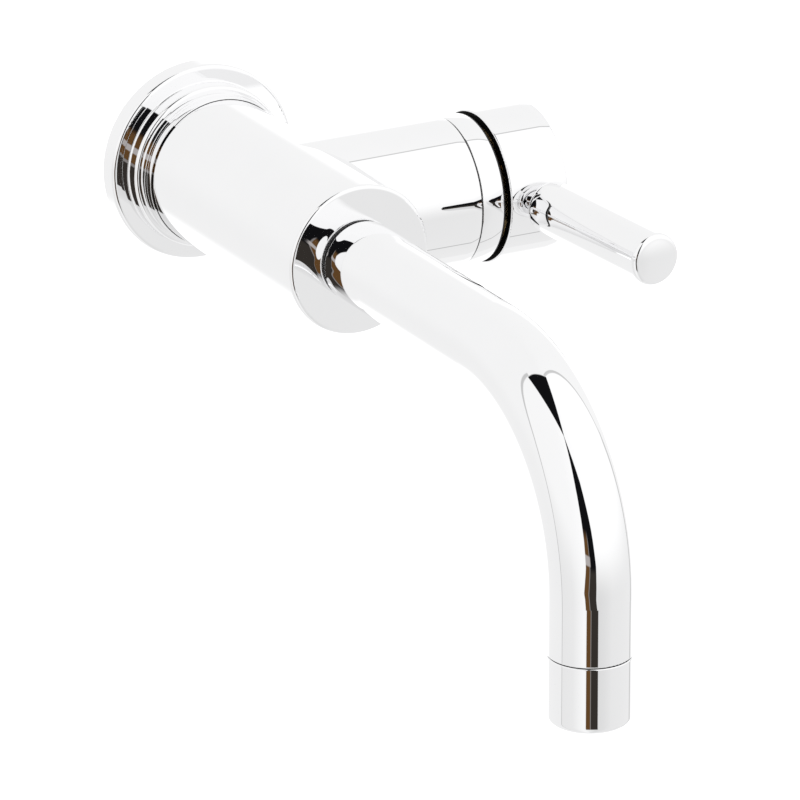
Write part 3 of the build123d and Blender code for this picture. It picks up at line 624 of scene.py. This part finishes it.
# machined brass, with fine turning marks and a few dull patches
machinedBrass = {
    "colour": (0.62, 0.42, 0.16, 1.0),
    "dull": (0.40, 0.26, 0.11, 1.0),
    "patchScale": 90.0,
    "patchBand": (0.45, 0.7),  # noise at which a dull patch begins and is full
    "roughness": (0.22, 0.42),
    "marks": 2600.0,
    "markBend": 1.5,
    "markDepth": 0.00001,
}


def makeBrass(b):
    material, tree, shader = newMaterial("machinedBrass")
    place = objectPlace(tree)
    patches = noiseNode(tree, place, b["patchScale"], detail=5.0, roughness=0.6)
    colour = mixNode(tree, riseNode(tree, patches, *b["patchBand"]), b["colour"], b["dull"])
    tree.links.new(colour, shader.inputs["Base Color"])
    marks = addNode(tree, "TexWave", {"Vector": place, "Scale": b["marks"], "Distortion": b["markBend"]},
                    wave_type="RINGS", rings_direction="Y").outputs["Fac"]
    tree.links.new(spreadNode(tree, patches, *b["roughness"]), shader.inputs["Roughness"])
    bumpNode(tree, shader, marks, b["markDepth"])
    shader.inputs["Metallic"].default_value = 1.0
    return material


# turned stainless steel, slightly brushed
turnedSteel = {
    "colour": (0.58, 0.58, 0.60, 1.0),
    "dark": (0.42, 0.42, 0.44, 1.0),
    "grain": (900.0, 60.0, 900.0),
    "grainDepth": 0.000008,
    "roughness": (0.20, 0.38),
}


def makeSteel(s):
    material, tree, shader = newMaterial("turnedSteel")
    stretched = addNode(tree, "Mapping", {"Vector": objectPlace(tree), "Scale": s["grain"]}).outputs[0]
    grain = noiseNode(tree, stretched, 1.0, detail=4.0, roughness=0.6)
    tree.links.new(mixNode(tree, grain, s["dark"], s["colour"]), shader.inputs["Base Color"])
    tree.links.new(spreadNode(tree, grain, *s["roughness"]), shader.inputs["Roughness"])
    bumpNode(tree, shader, grain, s["grainDepth"])
    shader.inputs["Metallic"].default_value = 1.0
    return material


# matt black rubber with a fine moulded grain and a trace of talc
mattRubber = {
    "colour": (0.018, 0.018, 0.019, 1.0),
    "talc": (0.075, 0.075, 0.078, 1.0),
    "talcScale": 160.0,
    "talcBand": (0.52, 0.75),
    "talcMost": 0.6,
    "roughness": (0.62, 0.85),
    "grain": 2200.0,
    "grainDepth": 0.00003,
    "gloss": 0.35,
}


def makeRubber(r):
    material, tree, shader = newMaterial("mattRubber")
    place = objectPlace(tree)
    dust = noiseNode(tree, place, r["talcScale"], detail=6.0, roughness=0.65)
    talc = rangeNode(tree, dust, *r["talcBand"], 0.0, r["talcMost"])
    tree.links.new(mixNode(tree, talc, r["colour"], r["talc"]), shader.inputs["Base Color"])
    rough = rangeNode(tree, talc, 0.0, r["talcMost"], *r["roughness"])
    tree.links.new(rough, shader.inputs["Roughness"])
    bumpNode(tree, shader, noiseNode(tree, place, r["grain"]), r["grainDepth"])
    shader.inputs["Specular IOR Level"].default_value = r["gloss"]
    return material


# moulded plastics, one black and one milky
blackPlastic = {
    "name": "blackPlastic",
    "colour": (0.010, 0.010, 0.011, 1.0),
    "worn": (0.022, 0.022, 0.024, 1.0),
    "cloudScale": 70.0,
    "grain": 1400.0,
    "grainDepth": 0.000015,
    "roughness": (0.34, 0.5),
    "glow": 0.0,
}
milkyPlastic = {
    "name": "milkyPlastic",
    "colour": (0.80, 0.81, 0.80, 1.0),
    "worn": (0.72, 0.73, 0.72, 1.0),
    "cloudScale": 70.0,
    "grain": 900.0,
    "grainDepth": 0.000015,
    "roughness": (0.28, 0.42),
    "glow": 0.12,
    "glowReach": 0.002,
}


def makePlastic(p):
    material, tree, shader = newMaterial(p["name"])
    place = objectPlace(tree)
    cloud = noiseNode(tree, place, p["cloudScale"], detail=4.0)
    tree.links.new(mixNode(tree, cloud, p["colour"], p["worn"]), shader.inputs["Base Color"])
    tree.links.new(spreadNode(tree, cloud, *p["roughness"]), shader.inputs["Roughness"])
    bumpNode(tree, shader, noiseNode(tree, place, p["grain"], detail=2.0), p["grainDepth"])
    if p["glow"]:
        shader.inputs["Subsurface Weight"].default_value = p["glow"]
        shader.inputs["Subsurface Scale"].default_value = p["glowReach"]
    return material


# lapped ceramic of the two discs, nearly white, very smooth, with a fine dark fleck
lappedCeramic = {
    "colour": (0.83, 0.82, 0.79, 1.0),
    "fleck": (0.62, 0.60, 0.56, 1.0),
    "fleckScale": 1200.0,
    "fleckBand": (0.62, 0.7),
    "fleckDepth": 0.000004,
    "roughness": (0.08, 0.2),
}


def makeCeramic(c):
    material, tree, shader = newMaterial("lappedCeramic")
    specks = noiseNode(tree, objectPlace(tree), c["fleckScale"], detail=5.0, roughness=0.7)
    fleck = riseNode(tree, specks, *c["fleckBand"])
    tree.links.new(mixNode(tree, fleck, c["colour"], c["fleck"]), shader.inputs["Base Color"])
    tree.links.new(rangeNode(tree, fleck, 0.0, 1.0, *c["roughness"]), shader.inputs["Roughness"])
    bumpNode(tree, shader, fleck, c["fleckDepth"])
    return material


steel = makeSteel(turnedSteel)
brass = makeBrass(machinedBrass)
dress(["inlet_block", "spout_shank", "cartridge_nut", "handle_hub"], brass)
dress(["block_screws", "fixing_studs", "spout_grub_screw", "lever_grub_screw", "aerator_screen",
       "pivot_pin", "drive_stem"], steel)
dress(["wall_gasket", "flange_o_ring", "inlet_seals", "spout_o_rings", "aerator_washer", "port_seals",
       "disc_seals", "neck_o_ring"], makeRubber(mattRubber))
dress(["root_ring", "flow_regulator", "limit_ring", "slide_ring", "cartridge_turret"],
      makePlastic(blackPlastic))
dress(["aerator_insert", "cartridge_base", "disc_carrier", "cartridge_shell"],
      makePlastic(milkyPlastic))
dress(["fixed_disc", "moving_disc"], makeCeramic(lappedCeramic))
print("all nodes dressed")


# turned pieces with real threads and hex sockets, built ring by ring along their own axis
def hexRing(halfWidth):
    sixth = math.pi / 3

    def radiusAt(turn):
        return halfWidth / math.cos((turn + sixth / 2) % sixth - sixth / 2)
    return radiusAt


def threadRings(start, end, outer, pitch, depth, steps=8, flank=0.8):
    # one ring every eighth of a pitch, each a little further round the helix, fading out at both ends
    rings = []
    count = int(round(abs(end - start) / pitch * steps))
    for index in range(count + 1):
        along = start + (end - start) * index / count
        fade = min(1.0, 2.0 * min(index, count - index) / steps)

        def radiusAt(turn, index=index, fade=fade):
            phase = (index / steps - turn / (2 * math.pi)) % 1.0
            cut = min(1.0, abs(2.0 * phase - 1.0) / flank)
            return outer - depth * (1.0 - fade * (1.0 - cut))
        rings.append((along, radiusAt))
    return rings


def ringSkin(mesh, rings, sides, place, hollow=False):
    # a ring is (where along, radius), and the radius may change with the turn
    rows = []
    for along, radius in rings:
        row = []
        for index in range(sides):
            turn = 2 * math.pi * index / sides
            r = radius(turn) if callable(radius) else radius
            row.append(mesh.verts.new(place(r * math.cos(turn), r * math.sin(turn), along)))
        rows.append(row)
    pairs = list(zip(rows, rows[1:]))
    if hollow:
        pairs.append((rows[-1], rows[0]))
    for low, high in pairs:
        for index in range(sides):
            after = (index + 1) % sides
            mesh.faces.new((low[index], low[after], high[after], high[index]))
    if not hollow:
        mesh.faces.new(rows[0])
        mesh.faces.new(rows[-1])


crispFrom = 34.0  # degrees, an edge sharper than this stays crisp


def finishPiece(name, made, material, body, replaced):
    bmesh.ops.recalc_face_normals(made, faces=made.faces)
    mesh = bpy.data.meshes.new(name)
    made.to_mesh(mesh)
    made.free()
    mesh.materials.append(material)
    mesh.shade_smooth()
    mesh.set_sharp_from_angle(angle=math.radians(crispFrom))
    piece = bpy.data.objects.new(name, mesh)
    bpy.context.scene.collection.objects.link(piece)
    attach(piece, body)
    if replaced:
        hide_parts(replaced)


def outward(x, z):
    # for a piece that lies square to the wall
    return lambda a, b, along: (x + a, -along, z + b)


def upright(x, y):
    # for a piece that stands up
    return lambda a, b, along: (x + a, y + b, along)


# two studs, M6 behind the wall, stepped down to M5 where they pass the inlet block into the body
studThreads = {
    "radius": 0.003,
    "pitch": 0.001,
    "depth": 0.00055,
    "bevel": 0.00048,
    "holdRadius": 0.0025,
    "holdPitch": 0.0008,
    "holdDepth": 0.00044,
    "point": 0.0008,  # plain length at the ends of each thread, and the bevel at the front
    "sides": 36,
}


def makeStuds(s):
    low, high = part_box("fixing_studs")
    x, z = (low[0] + high[0]) / 2, high[2] - s["radius"]
    back, front = -high[1], -low[1]
    shoulder, point = -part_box("inlet_block")[1][1], s["point"]  # the shoulder seats on the block's back
    thin, hold = s["radius"] - s["depth"], s["holdRadius"]
    made = bmesh.new()
    for side in (-1, 1):
        rings = [(back, thin - s["bevel"]), (back + s["bevel"], thin)]
        rings += threadRings(back + point, shoulder - point, s["radius"], s["pitch"], s["depth"])
        rings += [(shoulder, s["radius"]), (shoulder, hold)]
        rings += threadRings(shoulder + point, front - point, hold, s["holdPitch"], s["holdDepth"])
        rings += [(front, hold - point)]
        ringSkin(made, rings, s["sides"], outward(x, side * z))
    finishPiece("threaded_studs", made, steel, "root", "fixing_studs")


# two cap screws that hold the inlet block
blockScrews = {
    "headRadius": 0.0035,
    "headHeight": 0.004,
    "hexHalf": 0.0015,
    "hexMouth": 0.001875,
    "hexDepth": 0.002,
    "shank": 0.004,  # plain length under the head
    "radius": 0.002,
    "pitch": 0.0007,
    "depth": 0.0004,
    "bevel": 0.0003,
    "sides": 48,
}


def makeBlockScrews(s):
    low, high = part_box("block_screws")
    x, z = (low[0] + high[0]) / 2, high[2] - s["headRadius"]
    head, tip = -high[1], -low[1]
    seat = head + s["headHeight"]
    threaded = seat + s["shank"]
    bevel = s["bevel"]
    made = bmesh.new()
    for side in (-1, 1):
        rings = [(head + s["hexDepth"], hexRing(s["hexHalf"])), (head + bevel, hexRing(s["hexHalf"]))]
        rings += [(head, s["hexMouth"]), (head, s["headRadius"] - bevel)]
        rings += [(head + bevel, s["headRadius"]), (seat, s["headRadius"]), (seat, s["radius"])]
        rings += [(threaded, s["radius"])]
        rings += threadRings(threaded + bevel, tip - bevel, s["radius"], s["pitch"], s["depth"])
        rings += [(tip, s["radius"] - s["depth"] - bevel)]
        ringSkin(made, rings, s["sides"], outward(x, side * z))
    finishPiece("cap_screws", made, steel, "root", "block_screws")


# grub screws: a hex socket below, a thread round them and a plain point above
spoutScrew = {
    "node": "spout_grub_screw",
    "piece": "spout_set_screw",
    "body": "root",
    "radius": 0.0025,
    "pitch": 0.0008,
    "depth": 0.0004,
    "bevel": 0.00024,
    "hexHalf": 0.00125,
    "hexMouth": 0.0015625,
    "hexDepth": 0.0025,
    "point": 0.0015,
    "pointEnd": 0.0012,
    "pointHeight": 0.001,
    "sides": 48,
}
leverScrew = {
    "node": "lever_grub_screw",
    "piece": "lever_set_screw",
    "body": "handle",
    "radius": 0.002,
    "pitch": 0.0007,
    "depth": 0.00035,
    "bevel": 0.00021,
    "hexHalf": 0.001,
    "hexMouth": 0.00125,
    "hexDepth": 0.002,
    "point": 0.0012,
    "pointEnd": 0.00096,
    "pointHeight": 0.0006,
    "sides": 48,
}


def makeGrubScrew(s):
    low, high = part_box(s["node"])
    x, y = (low[0] + high[0]) / 2, (low[1] + high[1]) / 2
    bottom, top = low[2], high[2]
    start, shoulder = bottom + s["bevel"], top - s["pointHeight"]
    rings = [(bottom + s["hexDepth"], hexRing(s["hexHalf"])), (start, hexRing(s["hexHalf"]))]
    rings += [(bottom, s["hexMouth"]), (bottom, s["radius"] - s["depth"] - s["bevel"])]
    rings += threadRings(start, shoulder, s["radius"], s["pitch"], s["depth"])
    rings += [(shoulder, s["point"]), (top, s["pointEnd"])]
    made = bmesh.new()
    ringSkin(made, rings, s["sides"], upright(x, y))
    finishPiece(s["piece"], made, steel, s["body"], s["node"])


# thread inside each inlet, its ridges standing a little in from the bore
inletThreads = {
    "pitch": 0.001,
    "depth": 0.00055,
    "skin": 0.00004,  # keeps it just clear of the bore's wall
    "sides": 48,
}


def makeInletThreads(t):
    made = bmesh.new()
    for mount in frame["record"]["mounts"]:
        if mount["kind"] != "threaded_hole":
            continue
        x, y, z = mount["pos_m"]
        outer = mount["dims"]["r_mm"] / 1000.0 - t["skin"]
        start = -y + t["pitch"] / 2
        end = -y + mount["dims"]["length_mm"] / 1000.0 - t["pitch"] / 2
        rings = []
        for along, radiusAt in threadRings(start, end, outer, t["pitch"], t["depth"]):
            rings.append((along, lambda turn, at=radiusAt: at(turn) - t["skin"]))
        rings += [(end, outer), (start, outer)]
        ringSkin(made, rings, t["sides"], outward(x, z), hollow=True)
    finishPiece("inlet_threads", made, brass, "root", None)


makeStuds(studThreads)
makeBlockScrews(blockScrews)
makeGrubScrew(spoutScrew)
makeGrubScrew(leverScrew)
makeInletThreads(inletThreads)
print("threads and sockets made")
